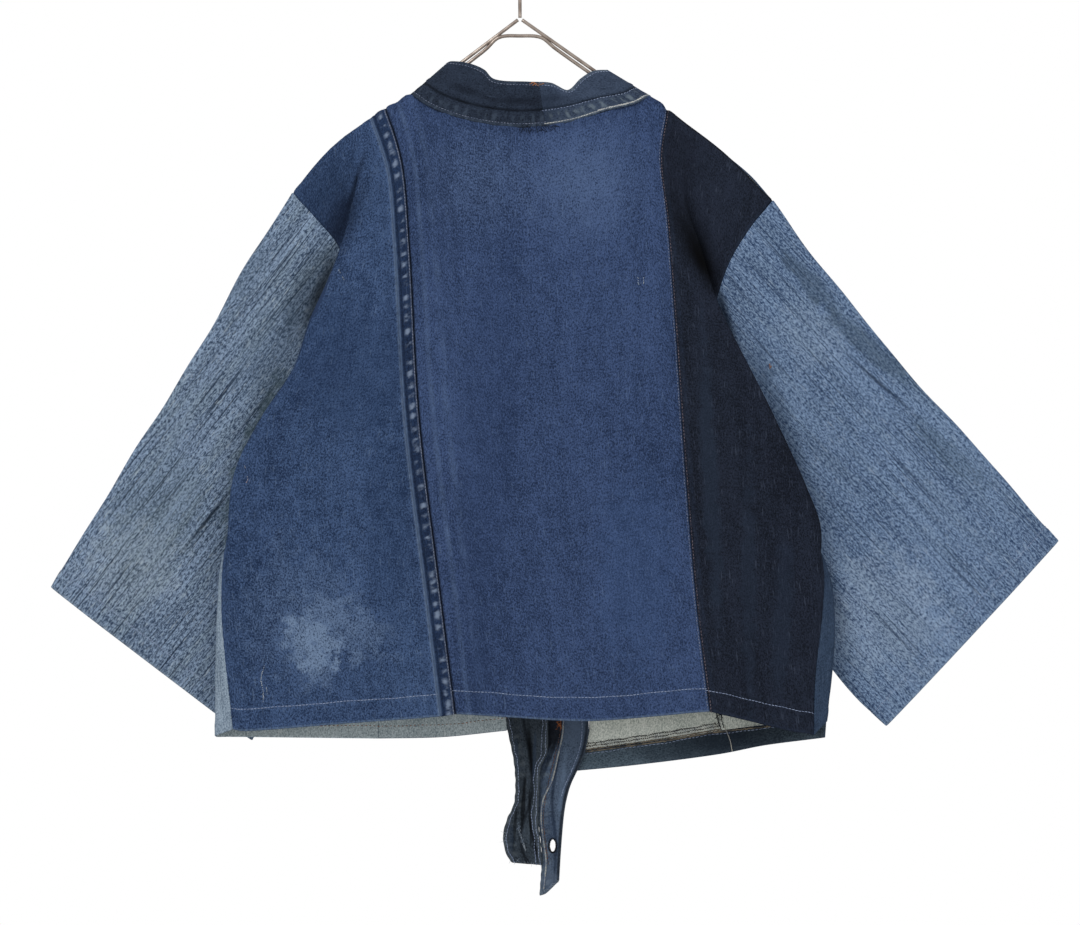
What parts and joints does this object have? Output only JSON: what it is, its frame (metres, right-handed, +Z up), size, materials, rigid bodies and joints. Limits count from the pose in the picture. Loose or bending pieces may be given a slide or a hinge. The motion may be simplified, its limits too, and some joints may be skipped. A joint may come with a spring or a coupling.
{
  "type": "patched boro jacket on wire hanger",
  "caption": "Short wide kimono-shaped jacket pieced from worn denim panels and waistbands, hung back outwards on a bent wire hanger",
  "frame": {"origin": "inside top of the hanger's hook, where a rail or peg carries it", "axes": "+Z up; the back of the jacket faces -Y; the dark back panel is on the +X side"},
  "size_m": [0.9121, 0.0768, 0.9],
  "materials": {
    "denim_mid": "worn mid-blue twill",
    "denim_centre": "worn blue twill with fine slubs",
    "denim_dark": "dark indigo twill",
    "denim_sleeve_left": "faded slubby twill, greenish grey",
    "denim_sleeve_right": "faded slubby twill, clear blue",
    "denim_pale": "pale washed twill",
    "denim_grey": "grey-blue twill",
    "denim_front": "washed twill",
    "waistband_dark": "near-black indigo, doubled",
    "waistband_blue": "grey-blue twill, doubled",
    "hanger_steel": "bright drawn wire"
  },
  "bodies": {
    "root": {"back_left_panel": "denim_mid", "back_felled_seam": "denim_mid", "back_centre_panel": "denim_centre", "back_right_panel": "denim_dark", "sleeve_left": "denim_sleeve_left", "sleeve_right": "denim_sleeve_right", "front_left_side_panel": "denim_pale", "front_left_panel": "denim_front", "front_right_side_panel": "denim_grey", "front_right_panel": "denim_front", "front_right_hem_band": "denim_grey", "collar_left": "waistband_dark", "collar_right": "waistband_blue", "front_left_band": "waistband_dark", "front_right_band": "waistband_blue", "tie_left": "waistband_dark", "tie_right": "waistband_blue", "hanger_frame": "hanger_steel", "hanger_hook": "hanger_steel"}
  },
  "joints": []
}
